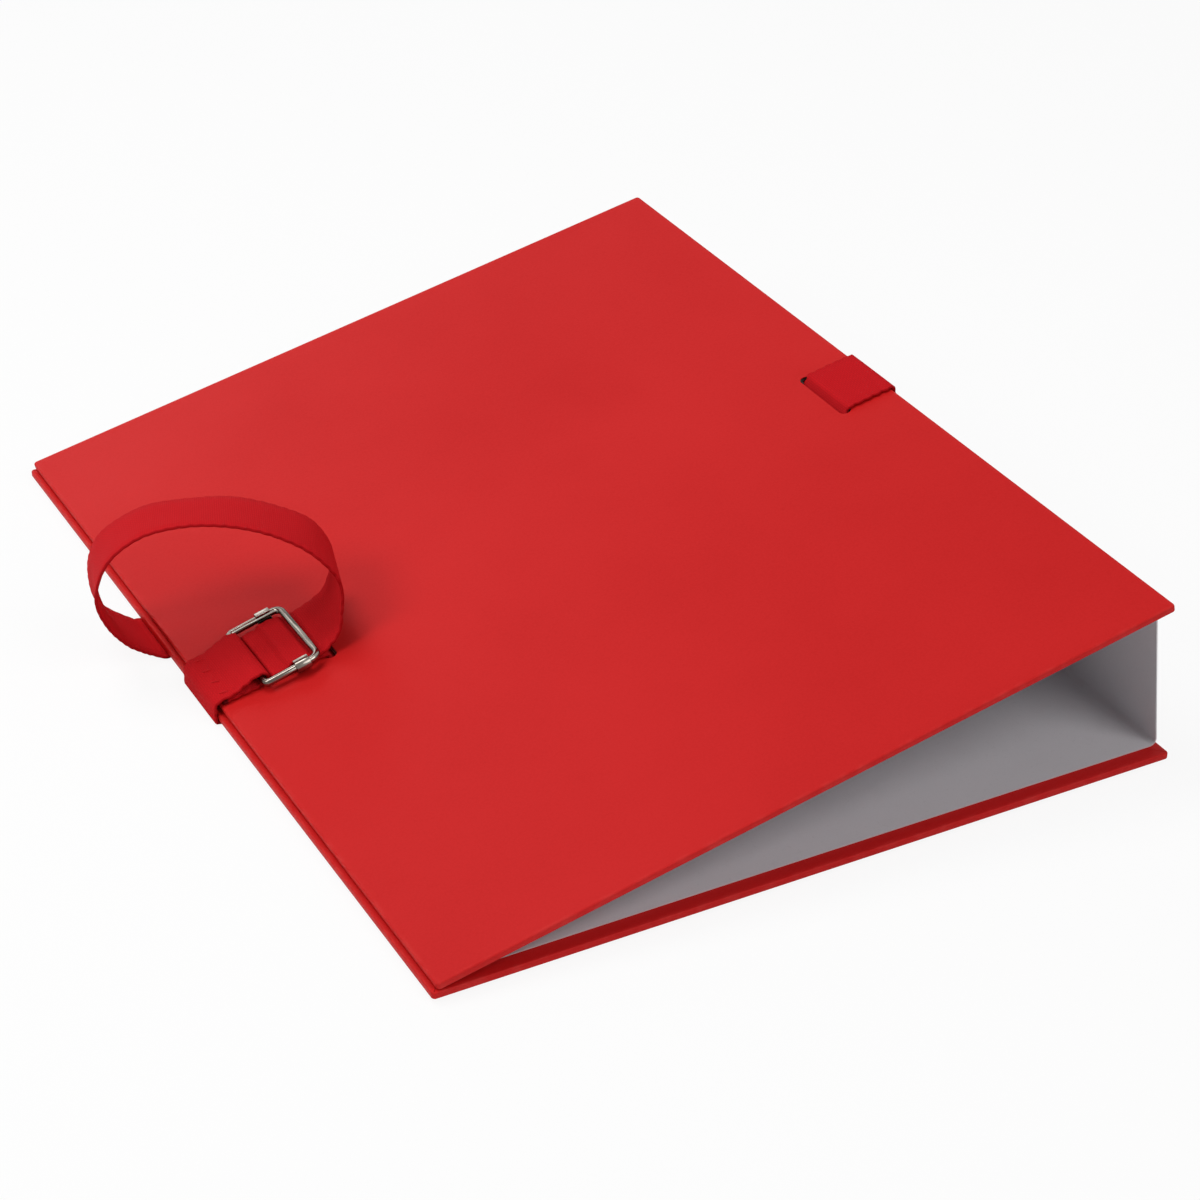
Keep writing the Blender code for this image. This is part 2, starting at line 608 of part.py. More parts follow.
def main():
    back = pivot("back_cover", Vector())
    lower_axis = back_point(*fold_axis(BACK_CREASE, LOWER_BEND))
    spine = pivot("spine_fold", lower_axis, back)
    along, depth = fold_axis(FRONT_CREASE, UPPER_BEND)
    front = pivot("cover_fold", front_point(along, -depth), spine)
    swing_axis = front_point(-STRAP_BEND, STRAP_BEND)
    buckle_strap = pivot("buckle_strap_swing", swing_axis, front)
    frame = pivot("frame_swing", FIXED_BAR, buckle_strap)
    slide_middle = FIXED_BAR + SLIDE_ALONG * heading(SLOPE + FRAME_TILT)
    slide = pivot("slide_travel", slide_middle, frame)

    cover_pieces("back", back, BACK_EDGE, (0, 0, 0), 1, BACK_CREASE)
    cover_pieces("front", front, FRONT_EDGE, (0, -SLOPE, 0), -1, FRONT_CREASE)
    spine_pieces(back, spine, front)
    strap_runs(back, spine, front)
    buckle_end(buckle_strap)
    buckle_frame(frame)
    buckle_slide(slide)
    strap_tail(front)


main()
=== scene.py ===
import math

import bmesh
import bpy
from mathutils import Matrix, Vector


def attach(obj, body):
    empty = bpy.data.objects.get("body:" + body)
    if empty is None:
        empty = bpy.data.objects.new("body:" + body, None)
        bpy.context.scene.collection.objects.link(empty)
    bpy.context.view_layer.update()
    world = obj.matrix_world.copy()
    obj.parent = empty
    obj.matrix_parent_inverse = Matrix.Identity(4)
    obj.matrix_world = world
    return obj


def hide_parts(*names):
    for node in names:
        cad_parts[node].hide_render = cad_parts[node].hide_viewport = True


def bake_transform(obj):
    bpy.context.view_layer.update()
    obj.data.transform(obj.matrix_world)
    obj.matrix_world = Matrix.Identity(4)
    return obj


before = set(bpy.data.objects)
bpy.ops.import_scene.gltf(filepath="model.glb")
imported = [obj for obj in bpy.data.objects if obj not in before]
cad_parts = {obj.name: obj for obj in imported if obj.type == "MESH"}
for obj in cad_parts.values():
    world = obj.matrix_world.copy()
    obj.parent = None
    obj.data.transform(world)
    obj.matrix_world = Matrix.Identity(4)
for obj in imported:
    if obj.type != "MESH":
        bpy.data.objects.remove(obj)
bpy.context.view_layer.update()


# ---- Boards ------------------------------------------------------------------------------------------------
# Each cover is stiffened by a sheet of raw grey board, 1.6 mm thick, pressed from waste paper. The covering
# and the lining seal it in, so that only its cut edge shows, in the slots that the strap runs through.


class Socket:
    """An output in a node tree. Arithmetic on it adds Math nodes, and node() adds any other kind."""

    def __init__(self, tree, link=None):
        self.tree = tree
        self.link = link

    def node(self, kind, settings=None, inputs=None, output=0):
        made = self.tree.nodes.new(kind)
        for name, value in (settings or {}).items():
            setattr(made, name, value)
        for name, value in (inputs or {}).items():
            self.feed(made.inputs[name], value)
        return Socket(self.tree, made.outputs[output])

    def feed(self, target, value):
        if isinstance(value, Socket):
            self.tree.links.new(value.link, target)
        else:
            target.default_value = value

    def math(self, operation, *values):
        return self.node("ShaderNodeMath", {"operation": operation}, dict(enumerate(values)))

    def __add__(self, other):
        return self.math("ADD", self, other)

    def __sub__(self, other):
        return self.math("SUBTRACT", self, other)

    def __rsub__(self, other):
        return self.math("SUBTRACT", other, self)

    def __mul__(self, other):
        return self.math("MULTIPLY", self, other)

    __radd__ = __add__

    def __abs__(self):
        return self.math("ABSOLUTE", self)

    def rise(self, low, high):
        """0 below low, 1 above high and smooth between, or the other way round where low is the larger."""
        limits = {"Value": self, "From Min": low, "From Max": high}
        return self.node("ShaderNodeMapRange", {"interpolation_type": "SMOOTHSTEP"}, limits)

    def noise(self, scale, detail=2.0, roughness=0.5):
        texture = {"Vector": self, "Scale": scale, "Detail": detail, "Roughness": roughness}
        return self.node("ShaderNodeTexNoise", None, texture)

    def mixed(self, first, second):
        """The first colour where this value is 0, and the second where it is 1."""
        return self.node("ShaderNodeMix", {"data_type": "RGBA"}, {0: self, 6: first, 7: second}, 2)

    def bump(self, distance, strength=1.0):
        relief = {"Height": self, "Distance": distance, "Strength": strength}
        return self.node("ShaderNodeBump", None, relief)

    def part(self, axis):
        return self.node("ShaderNodeSeparateXYZ", None, {0: self}, axis)


def new_material(name):
    material = bpy.data.materials.new(name)
    material.use_nodes = True
    return material, Socket(material.node_tree)


def shade(material, inputs):
    shader = material.node_tree.nodes["Principled BSDF"]
    for name, value in inputs.items():
        Socket(material.node_tree).feed(shader.inputs[name], value)


board_light = (0.24, 0.21, 0.18, 1)
board_dark = (0.14, 0.12, 0.10, 1)
pulp_scale = 1400
pulp_depth = 0.00012
fleck_scale = 420
board_stock, nodes = new_material("grey_board_stock")
place = nodes.node("ShaderNodeTexCoord", output="Object")
pulp = place.noise(pulp_scale, detail=4, roughness=0.65)
flecks = place.noise(fleck_scale, detail=1).rise(0.62, 0.72)
shade(
    board_stock,
    {
        "Base Color": (pulp * 0.8 + flecks * 0.5).mixed(board_light, board_dark),
        "Roughness": 0.92,
        "Specular IOR Level": 0.3,
        "Normal": pulp.bump(pulp_depth, strength=0.6),
    },
)
for side in ("back", "front"):
    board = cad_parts[f"{side}_board"]
    board.material_slots[0].material = board_stock


# ---- Coverings ---------------------------------------------------------------------------------------------
# The covers' red covering: coated paper with a fine pressed grain, glued to the board and folded over its
# four edges. The turned-in flaps meet in mitred corners inside, and the slots are punched through.

cover_width = 0.240
cover_length = 0.320
cover_thickness = 0.0023
covering_thickness = 0.00025
corner_radius = 0.0012
corner_segments = 6
rim_radius = 0.00055
rim_segments = 5
rim_support = 0.0017
turn_in = 0.0175
mitre_gap = 0.00016
faces_inside = -0.9
cut_tolerance = 1e-7
slot_width = 0.004
slot_half_length = 0.0138
slot_end_sides = 8
slot_middles = (0.037, 0.2223)
strap_offset = 0.002

front_slope = math.radians(11.94609)
front_frame = Matrix.Translation((-0.118863, 0, 0.004850)) @ Matrix.Rotation(-front_slope, 4, "Y")
back_frame = Matrix.Translation((-0.120, 0, 0)) @ Matrix.Scale(-1, 4, (0, 0, 1))


def split(mesh, points, normal, geom=None):
    """Cuts edges into a mesh where planes with one normal pass through the points."""
    for point in points:
        cut = geom or [*mesh.verts, *mesh.edges, *mesh.faces]
        bmesh.ops.bisect_plane(mesh, geom=cut, plane_co=point, plane_no=normal, dist=cut_tolerance)


def beside_slot(point):
    """A point's distance from the nearest slot's middle line, as a share of half the slot's width."""
    return min(abs(point.x - middle) for middle in slot_middles) / slot_width * 2


def in_a_slot(point):
    """Whether a point is in one of the slots, which have round ends."""
    beside = beside_slot(point)
    rounding = slot_width / 2 * (1 - math.sqrt(max(1 - beside**2, 0)))
    return beside < 1 and abs(point.y - strap_offset) < slot_half_length - rounding


def about_a_slot(point):
    """Whether a point is in the rectangle about one of the slots."""
    return beside_slot(point) < 1 and abs(point.y - strap_offset) < slot_half_length


def split_at_slots(mesh):
    sides = [middle + half for middle in slot_middles for half in (-slot_width / 2, slot_width / 2)]
    split(mesh, [(x, 0, 0) for x in sides], (1, 0, 0))
    split(mesh, [(0, strap_offset + end, 0) for end in (-slot_half_length, slot_half_length)], (0, 1, 0))
    turns = [math.pi * (k + 0.5) / slot_end_sides for k in range(slot_end_sides)]
    for middle in slot_middles:
        for end in (-1, 1):
            round_middle = Vector((middle, strap_offset + end * (slot_half_length - slot_width / 2), 0))
            for turn in turns:
                away = Vector((math.cos(turn), end * math.sin(turn), 0))
                faces = [face for face in mesh.faces if about_a_slot(face.calc_center_median())]
                parts = {part for face in faces for part in (*face.verts, *face.edges)}
                split(mesh, [round_middle + away * slot_width / 2], away, [*faces, *parts])


def remove_faces(mesh, unwanted):
    faces = [face for face in mesh.faces if unwanted(face, face.calc_center_median())]
    bmesh.ops.delete(mesh, geom=faces, context="FACES")


def new_piece(name, mesh, material, sharp_angle=35):
    """Makes an object of a mesh, with smooth faces that stay crisp at its sharp edges."""
    for face in mesh.faces:
        face.smooth = True
    data = bpy.data.meshes.new(name)
    mesh.to_mesh(data)
    mesh.free()
    data.set_sharp_from_angle(angle=math.radians(sharp_angle))
    data.materials.append(material)
    piece = bpy.data.objects.new(name, data)
    bpy.context.scene.collection.objects.link(piece)
    return piece


def covering(name, cover_frame, material):
    mesh = bmesh.new()
    bmesh.ops.create_cube(mesh, size=1.0)
    bmesh.ops.scale(mesh, vec=(cover_width, cover_length, cover_thickness), verts=mesh.verts)
    bmesh.ops.translate(mesh, vec=(cover_width / 2, 0, -cover_thickness / 2), verts=mesh.verts)
    rounded = {"profile": 0.5, "affect": "EDGES", "material": -1}
    upright = [e for e in mesh.edges if abs(e.verts[0].co.z - e.verts[1].co.z) > cover_thickness / 2]
    bmesh.ops.bevel(mesh, geom=upright, offset=corner_radius, segments=corner_segments, **rounded)
    rims = [e for e in mesh.edges if abs(e.verts[0].co.z - e.verts[1].co.z) < cover_thickness / 2]
    bmesh.ops.bevel(mesh, geom=rims, offset=rim_radius, segments=rim_segments, **rounded)

    split_at_slots(mesh)
    for inset in (turn_in, rim_support):
        split(mesh, [(inset, 0, 0), (cover_width - inset, 0, 0)], (1, 0, 0))
        split(mesh, [(0, inset - cover_length / 2, 0), (0, cover_length / 2 - inset, 0)], (0, 1, 0))
    remove_faces(mesh, lambda face, centre: in_a_slot(centre))
    remove_faces(
        mesh,
        lambda face, centre: face.normal.z < faces_inside
        and turn_in < centre.x < cover_width - turn_in
        and abs(centre.y) < cover_length / 2 - turn_in,
    )
    for corner_x, inwards_x in ((0, 1), (cover_width, -1)):
        for inwards_y in (-1, 1):
            corner = Vector((corner_x, -inwards_y * cover_length / 2, 0))
            across = Vector((inwards_x, -inwards_y, 0)).normalized()

            def on_flap(point):
                return max(abs(point.x - corner.x), abs(point.y - corner.y)) < turn_in

            for edge in (-mitre_gap / 2, mitre_gap / 2):
                flap = [face for face in mesh.faces if face.normal.z < faces_inside]
                flap = [face for face in flap if on_flap(face.calc_center_median())]
                parts = {part for face in flap for part in (*face.verts, *face.edges)}
                split(mesh, [corner + across * edge], across, [*flap, *parts])
            remove_faces(
                mesh,
                lambda face, centre: face.normal.z < faces_inside
                and on_flap(centre)
                and abs((centre - corner).dot(across)) < mitre_gap / 2,
            )
    flat = mesh.loops.layers.uv.new("flat")
    for face in mesh.faces:
        for loop in face.loops:
            loop[flat].uv = loop.vert.co.xy
    bmesh.ops.solidify(mesh, geom=mesh.faces, thickness=covering_thickness)
    bmesh.ops.transform(mesh, matrix=cover_frame, verts=mesh.verts)
    if cover_frame.is_negative:
        bmesh.ops.reverse_faces(mesh, faces=mesh.faces)
    return new_piece(name, mesh, material)


covering_red = (0.61, 0.012, 0.012, 1)
covering_deep = (0.53, 0.008, 0.008, 1)
covering_worn = (0.66, 0.045, 0.040, 1)
grain_scale = 1500
fine_grain_scale = 3600
grain_depth = 0.00004
cloud_scale = 11
rub_scale = 240
rub_start = 0.0016
rub_full = 0.0002
rub_strength = 0.35
red_coating, nodes = new_material("red_coated_covering")
place = nodes.node("ShaderNodeTexCoord", output="Object")
flat = nodes.node("ShaderNodeUVMap", {"uv_map": "flat"})
from_opening = flat.part("X")
from_sides = nodes.math("MINIMUM", from_opening, cover_width - from_opening)
from_edge = nodes.math("MINIMUM", from_sides, cover_length / 2 - abs(flat.part("Y")))
cells = {"Vector": place, "Scale": grain_scale}
grain = nodes.node("ShaderNodeTexVoronoi", {"feature": "SMOOTH_F1"}, cells)
fine_grain = place.noise(fine_grain_scale)
clouds = place.noise(cloud_scale, detail=3, roughness=0.6)
rubbed = from_edge.rise(rub_start, rub_full) * place.noise(rub_scale, detail=3).rise(0.40, 0.75)
tone = clouds * 0.7 + grain * 0.25 + fine_grain * 0.1
colour = tone.rise(0.25, 0.95).mixed(covering_red, covering_deep)
shade(
    red_coating,
    {
        "Base Color": (rubbed * rub_strength).mixed(colour, covering_worn),
        "Roughness": 0.44 + clouds * 0.12 + grain * 0.06,
        "Specular IOR Level": 0.13,
        "Normal": (fine_grain * 0.35 - grain).bump(grain_depth, strength=0.35),
    },
)
for side, cover_frame in (("back", back_frame), ("front", front_frame)):
    piece = covering(f"{side}_cover_covering", cover_frame, red_coating)
    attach(piece, f"{side}_cover")
    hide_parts(f"{side}_covering")


# ---- Creased sheet -----------------------------------------------------------------------------------------
# One sheet of grey card, 0.4 mm thick: it lines both covers and stands between them as the spine. It is cut
# and punched flat, glued to the covers, and rounded over at its two creases, where it folds.

sheet_thickness = 0.0004
sheet_margin = 0.005
sheet_gap = 0.0001
sheet_rows = 12
back_crease = 0.2366
front_crease = 0.2347
crease_radius = 0.0018
spine_height = 0.0446
lower_bend = math.radians(96.3)
upper_bend = math.pi + front_slope - lower_bend
crease_steps = 14


def folded_sheet(name, cover_frame, crease_start, bend, panel_height, material):
    """A cover's lining, its crease, and as much of the spine as is asked for."""
    flat_crease = (crease_radius + sheet_thickness / 2) * bend
    flat_end = crease_start + flat_crease + panel_height
    mesh = bmesh.new()
    bmesh.ops.create_grid(mesh, x_segments=1, y_segments=sheet_rows, size=0.5)
    size = (flat_end - sheet_margin, cover_length - 2 * sheet_margin, 1)
    bmesh.ops.scale(mesh, vec=size, verts=mesh.verts)
    bmesh.ops.translate(mesh, vec=((flat_end + sheet_margin) / 2, 0, 0), verts=mesh.verts)
    split_at_slots(mesh)
    folds = [crease_start + flat_crease * k / crease_steps for k in range(crease_steps + 1)]
    supports = [folds[0] - sheet_thickness, folds[-1] + sheet_thickness, folds[-1] + panel_height / 2]
    split(mesh, [(x, 0, 0) for x in [*folds, *supports]], (1, 0, 0))
    remove_faces(mesh, lambda face, centre: in_a_slot(centre))
    bmesh.ops.solidify(mesh, geom=mesh.faces, thickness=sheet_thickness)
    depth = min(vert.co.z for vert in mesh.verts)
    for vert in mesh.verts:
        into_sheet = vert.co.z - depth
        angle = min(max((vert.co.x - crease_start) / flat_crease, 0), 1) * bend
        past = max(vert.co.x - crease_start - flat_crease, 0)
        radius = crease_radius + sheet_thickness - into_sheet
        surface = -cover_thickness - sheet_gap
        centre = Vector((crease_start, surface - sheet_thickness - crease_radius))
        x = centre.x + radius * math.sin(angle) + past * math.cos(angle)
        height = centre.y + radius * math.cos(angle) - past * math.sin(angle)
        vert.co = (min(vert.co.x, crease_start) + x - crease_start, vert.co.y, height)
    bmesh.ops.transform(mesh, matrix=cover_frame, verts=mesh.verts)
    bmesh.ops.recalc_face_normals(mesh, faces=mesh.faces)
    return new_piece(name, mesh, material)


card_light = (0.70, 0.685, 0.71, 1)
card_dark = (0.60, 0.585, 0.61, 1)
fibre_scale = 1900
fibre_depth = 0.00003
mottle_scale = 55
speck_scale = 950
grey_card, nodes = new_material("grey_lining_card")
place = nodes.node("ShaderNodeTexCoord", output="Object")
fibre = place.noise(fibre_scale, detail=5, roughness=0.7)
mottle = place.noise(mottle_scale, detail=4, roughness=0.6)
speck = place.noise(speck_scale, detail=1).rise(0.66, 0.74)
shade(
    grey_card,
    {
        "Base Color": (mottle * 0.6 + fibre * 0.35 + speck * 0.25).mixed(card_light, card_dark),
        "Roughness": 0.58 + mottle * 0.14,
        "Specular IOR Level": 0.4,
        "Normal": (fibre + mottle * 0.8).bump(fibre_depth, strength=0.5),
    },
)
back_sheet = folded_sheet(
    "back_lining_and_spine", back_frame, back_crease, lower_bend, spine_height, grey_card
)
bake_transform(back_sheet)
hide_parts("back_lining", "spine_lower_crease", "spine_panel")

front_sheet = folded_sheet(
    "front_lining_and_crease", front_frame, front_crease, upper_bend, 0.0, grey_card
)
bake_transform(front_sheet)
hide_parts("front_lining", "spine_upper_crease")


# ---- Strap along the covers --------------------------------------------------------------------------------
# Woven red webbing, 26 mm wide and 1 mm thick, with a small scallop along each selvedge where the weft turns
# back. It runs along the inside of each cover, slants out through a slot and wraps the cover's spine edge.

strap_half_width = 0.013
strap_thickness = 0.001
strap_row = 0.0006
strap_sharp_angle = 60
weld_distance = 1e-6
least_length = 1e-9
cut_end_length = 2 * strap_row
scallop_pitch = 0.0034
scallop_depth = 0.0007
scallop_uneven = 0.15
scallop_beat = 1.7
scallop_power = 8
strap_inside = -0.0036
strap_outside = 0.0008
strap_second = 0.0021
strap_bend = 0.0008
slot_slant = 0.0015
opening_slot, spine_slot = slot_middles
join = 0.00215
strap_past_edge = cover_width + strap_outside

# The webbing's section, from one selvedge over to the other and back: shares of its half width and thickness.
webbing_section = [(-1, 0), (-0.995, 0.55), (-0.97, 0.95), (-0.65, 1), (-0.33, 1), (0, 1)]
webbing_section += [(-across, up) for across, up in reversed(webbing_section[1:-1])]
webbing_section += [(-across, -up) for across, up in webbing_section]


def bent_path(corners, step=math.radians(6)):
    """Points along a bent strip seen from its edge. A corner is its two coordinates and its bend radius."""
    points = []
    for i, (x, z, radius) in enumerate(corners):
        corner = Vector((x, z))
        if not radius:
            points.append(corner)
            continue
        before = (Vector(corners[i - 1][:2]) - corner).normalized()
        after = (Vector(corners[i + 1][:2]) - corner).normalized()
        opening = before.angle(after)
        centre = corner + (before + after).normalized() * radius / math.sin(opening / 2)
        arm = corner + before * radius / math.tan(opening / 2) - centre
        turn = math.copysign(math.pi - opening, -before.cross(after))
        steps = math.ceil(abs(turn) / step)
        points += [centre + Matrix.Rotation(turn * k / steps, 2) @ arm for k in range(steps + 1)]
    return points


def even_rows(stations):
    """Stations at even distances along the same line, with the distance of each."""
    lengths = [0.0]
    for (a, _), (b, _) in zip(stations, stations[1:]):
        lengths.append(lengths[-1] + (b - a).length)
    count = math.ceil(lengths[-1] / strap_row)
    rows, i = [], 0
    for k in range(count + 1):
        along = lengths[-1] * k / count
        while i < len(stations) - 2 and lengths[i + 1] < along:
            i += 1
        share = (along - lengths[i]) / max(lengths[i + 1] - lengths[i], least_length)
        (a, side_a), (b, side_b) = stations[i], stations[i + 1]
        rows.append((a.lerp(b, share), side_a.lerp(side_b, share).normalized(), along))
    return rows


def webbing(name, stations, material, cut_ends=()):
    """A length of strap through stations, which are points with the direction across it there."""
    rows = even_rows(stations)
    last, around = len(rows) - 1, len(webbing_section)
    mesh = bmesh.new()
    bmesh.ops.create_grid(mesh, x_segments=around, y_segments=last, size=1.0)
    weave_across = mesh.verts.layers.float.new("weave_across")
    weave_along = mesh.verts.layers.float.new("weave_along")
    cut = mesh.verts.layers.float.new("cut_end")
    for vert in mesh.verts:
        i = round((vert.co.y + 1) / 2 * last)
        across, up = webbing_section[round((vert.co.x + 1) / 2 * around) % around]
        centre, side, along = rows[i]
        ahead = rows[min(i + 1, last)][0] - rows[max(i - 1, 0)][0]
        normal = ahead.cross(side).normalized()
        beat = math.sin(along / scallop_pitch * scallop_beat + across)
        uneven = 1 - scallop_uneven + scallop_uneven * beat
        scallop = 1 - abs(math.sin(math.pi * along / scallop_pitch))
        notch = scallop_depth * uneven * scallop * abs(across) ** scallop_power
        vert.co = centre + side * across * (strap_half_width - notch) + normal * up * strap_thickness / 2
        vert[weave_across] = across * strap_half_width
        vert[weave_along] = along
        ends = {"first": along, "last": rows[-1][2] - along}
        vert[cut] = float(any(ends[end] < cut_end_length for end in cut_ends))
    bmesh.ops.remove_doubles(mesh, verts=mesh.verts, dist=weld_distance)
    bmesh.ops.holes_fill(mesh, edges=[edge for edge in mesh.edges if edge.is_boundary], sides=0)
    bmesh.ops.recalc_face_normals(mesh, faces=mesh.faces)
    weave = mesh.loops.layers.uv.new("weave")
    for face in mesh.faces:
        for loop in face.loops:
            loop[weave].uv = (loop.vert[weave_across], loop.vert[weave_along])
    piece = new_piece(name, mesh, material, strap_sharp_angle)
    return piece


def slot_passage(middle, outwards, height):
    """Where the strap is at a height in a slot. It slants outwards to the spine or, negative, away."""
    share = (height - strap_inside) / (strap_outside - strap_inside)
    return middle + math.copysign(slot_slant, outwards) * (2 * share - 1)


def along_cover(cover_frame, corners):
    """Stations of the strap by a cover. A corner is x from the opening edge, height and bend radius."""
    path = bent_path(corners)
    return [(cover_frame @ Vector((x, strap_offset, height)), Vector((0, -1, 0))) for x, height in path]


webbing_crown = (0.61, 0.013, 0.018, 1)
webbing_valley_shade = (0.49, 0.010, 0.014, 1)
webbing_weft = (0.57, 0.012, 0.017, 1)
webbing_selvedge_and_shade = (0.38, 0.006, 0.009, 1)
webbing_melted = (0.10, 0.004, 0.005, 1)
warp_pitch = 0.00074
weft_pitch = 0.00066
weave_depth = 0.00012
slub_scale = 160
fuzz_scale = 5200
selvedge_start = 0.0124
selvedge_full = 0.0129
red_webbing, nodes = new_material("red_strap_webbing")
place = nodes.node("ShaderNodeTexCoord", output="Object")
weave = nodes.node("ShaderNodeUVMap", {"uv_map": "weave"})
warp = nodes.math("SINE", weave.part("X") * (math.pi / warp_pitch))
weft = nodes.math("SINE", weave.part("Y") * (math.pi / weft_pitch))
crossing = warp * weft
yarn = nodes.math("POWER", abs(crossing), 0.5)
warp_over = crossing.rise(-0.15, 0.15)
slub = place.noise(slub_scale, detail=3, roughness=0.6)
fuzz = place.noise(fuzz_scale)
melted = nodes.node("ShaderNodeAttribute", {"attribute_name": "cut_end"}, output="Fac")
threads = warp_over.mixed(webbing_weft, webbing_crown)
# The weave's hollows between the threads are painted darker, as painted shade; slubs and fuzz vary the tone
# at random.
woven_with_valley_shade = (yarn * 0.75 + slub * 0.25 + fuzz * 0.15).rise(0.15, 0.85).mixed(webbing_valley_shade, threads)
# Over the selvedges and the strap's side edges the webbing is darker: partly the denser warp there, partly
# painted shade along the edges.
selvedge = abs(weave.part("X")).rise(selvedge_start, selvedge_full)
shade(
    red_webbing,
    {
        "Base Color": melted.mixed(selvedge.mixed(woven_with_valley_shade, webbing_selvedge_and_shade), webbing_melted),
        "Roughness": 0.78 - yarn * 0.12,
        "Specular IOR Level": 0.02,
        "Sheen Weight": 0.02,
        "Sheen Roughness": 0.5,
        "Sheen Tint": (0.8, 0.1, 0.1, 1),
        "Normal": (yarn + fuzz * 0.3).bump(weave_depth, strength=0.5),
    },
)

spine_side = [
    (slot_passage(opening_slot, -1, strap_inside), strap_inside, strap_bend),
    (slot_passage(spine_slot, 1, strap_inside), strap_inside, strap_bend),
    (slot_passage(spine_slot, 1, strap_outside), strap_outside, strap_bend),
    (strap_past_edge, strap_outside, strap_bend),
    (strap_past_edge, -join, 0),
]
opening_side = [
    (-strap_outside, -join, 0),
    (-strap_outside, strap_outside, strap_bend),
    (slot_passage(opening_slot, -1, strap_outside), strap_outside, strap_bend),
]
slot_split = -0.00015
tail_start = (slot_passage(opening_slot, -1, slot_split), slot_split, 0)
back_stations = along_cover(back_frame, opening_side + spine_side)
back_run = webbing("strap_along_back_cover", back_stations, red_webbing)
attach(back_run, "back_cover")
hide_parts("strap_back_run")
front_stations = along_cover(front_frame, [tail_start, *spine_side])
front_run = webbing("strap_along_front_cover", front_stations, red_webbing)
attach(front_run, "front_cover")
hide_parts("strap_front_run")


# ---- Strap across the spine --------------------------------------------------------------------------------
# The same webbing between the two covers' spine edges, in two halves. It bows out past the spine, so that its
# slack stays outside;
# on the real file it folds close to the covers' edges as they open, but here its shape is fixed.

bow_steps = 40
bow_low = back_frame @ Vector((strap_past_edge, strap_offset, -join))
bow_high = front_frame @ Vector((strap_past_edge, strap_offset, -join))
bow_reach = (bow_high - bow_low).length / 3
front_up = front_frame.to_3x3() @ Vector((0, 0, 1))
bow_handles = (bow_low, bow_low + Vector((0, 0, bow_reach)), bow_high - front_up * bow_reach, bow_high)


def bow_point(t):
    """A point on the cubic curve of the bow's four handles."""
    a, b, c, d = bow_handles
    s = 1 - t
    return s**3 * a + 3 * s * s * t * b + 3 * s * t * t * c + t**3 * d


bow = [(bow_point(k / bow_steps), Vector((0, -1, 0))) for k in range(bow_steps + 1)]
lower_bow = webbing("strap_across_lower_spine", bow[: bow_steps // 2 + 1], red_webbing)
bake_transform(lower_bow)
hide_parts("strap_spine_lower")
upper_bow = webbing("strap_across_upper_spine", bow[bow_steps // 2 :], red_webbing)
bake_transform(upper_bow)
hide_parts("strap_spine_upper")


# ---- Buckle end of the strap -------------------------------------------------------------------------------
# The webbing's fixed end comes up over both opening edges, goes round the frame's fixed bar, and is folded
# back under itself. A short seam of red thread, near the covers' edge, closes the fold.

wire_radius = 0.00115
clearance = 0.0003
buckle_setback = 0.0146
buckle_length = 0.0181
fixed_bar_height = 0.00275
free_bar_height = 0.00405
fold_end = 0.001
seam_setback = 0.0025
rise_start = 0.005
rise_bend = 0.005

wrap = wire_radius + clearance + strap_thickness / 2
strap_start = back_frame @ Vector((-strap_outside, 0, -join))
over_edge = front_frame @ Vector((0, 0, strap_second))
front_along = front_frame.to_3x3() @ Vector((1, 0, 0))
over_edge += front_along * (strap_start.x - over_edge.x) / front_along.x
edge_bend = strap_second + strap_bend
buckle_corners = [(strap_start, 0), (over_edge, edge_bend)]
for x, height, bend in (
    (rise_start, strap_second, rise_bend),
    (buckle_setback - wrap, fixed_bar_height + wrap, rise_bend / 2),
    (buckle_setback + wrap, fixed_bar_height + wrap, wrap),
    (buckle_setback + wrap, fixed_bar_height - wrap, wrap),
    (fold_end, strap_outside, 0),
):
    buckle_corners.append((front_frame @ Vector((x, 0, height)), bend))
buckle_path = bent_path([(point.x, point.z, bend) for point, bend in buckle_corners])
buckle_stations = [(Vector((x, strap_offset, z)), Vector((0, -1, 0))) for x, z in buckle_path]
buckle_end = webbing("strap_buckle_end_webbing", buckle_stations, red_webbing, ["last"])
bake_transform(buckle_end)
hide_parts("strap_buckle_end")

thread_radius = 0.00025
thread_sides = 8
stitch_length = 0.003
stitch_rows = 4
stitch_pitch = 0.0066
stitch_slant = 0.001
stitch_steps = 12
stitch_above = 0.5 * thread_radius
stitch_below = -0.9 * thread_radius
stitch_dip = 2 * thread_radius
stitch_dip_power = 6
strap_surface = strap_second + strap_thickness / 2


def tube(mesh, points, radius, sides):
    """Sweeps a circle along points, by extruding it from each to the next, and caps its ends."""
    ahead = (points[1] - points[0]).normalized()
    turned = ahead.to_track_quat("Z", "Y").to_matrix().to_4x4()
    placed = Matrix.Translation(points[0]) @ turned
    ring = bmesh.ops.create_circle(mesh, segments=sides, radius=radius, matrix=placed)["verts"]
    edges = list({edge for vert in ring for edge in vert.link_edges})
    ends = [edges]
    for i in range(1, len(points)):
        following = (points[min(i + 1, len(points) - 1)] - points[i - 1]).normalized()
        turn = ahead.rotation_difference(following).to_matrix().to_4x4()
        made = bmesh.ops.extrude_edge_only(mesh, edges=edges)["geom"]
        move = Matrix.Translation(points[i]) @ turn @ Matrix.Translation(-points[i - 1])
        edges = [part for part in made if isinstance(part, bmesh.types.BMEdge)]
        edges = [edge for edge in edges if len(edge.link_faces) == 1]
        bmesh.ops.transform(mesh, matrix=move, verts=list({v for edge in edges for v in edge.verts}))
        ahead = following
    ends.append(edges)
    for end in ends:
        bmesh.ops.contextual_create(mesh, geom=end)


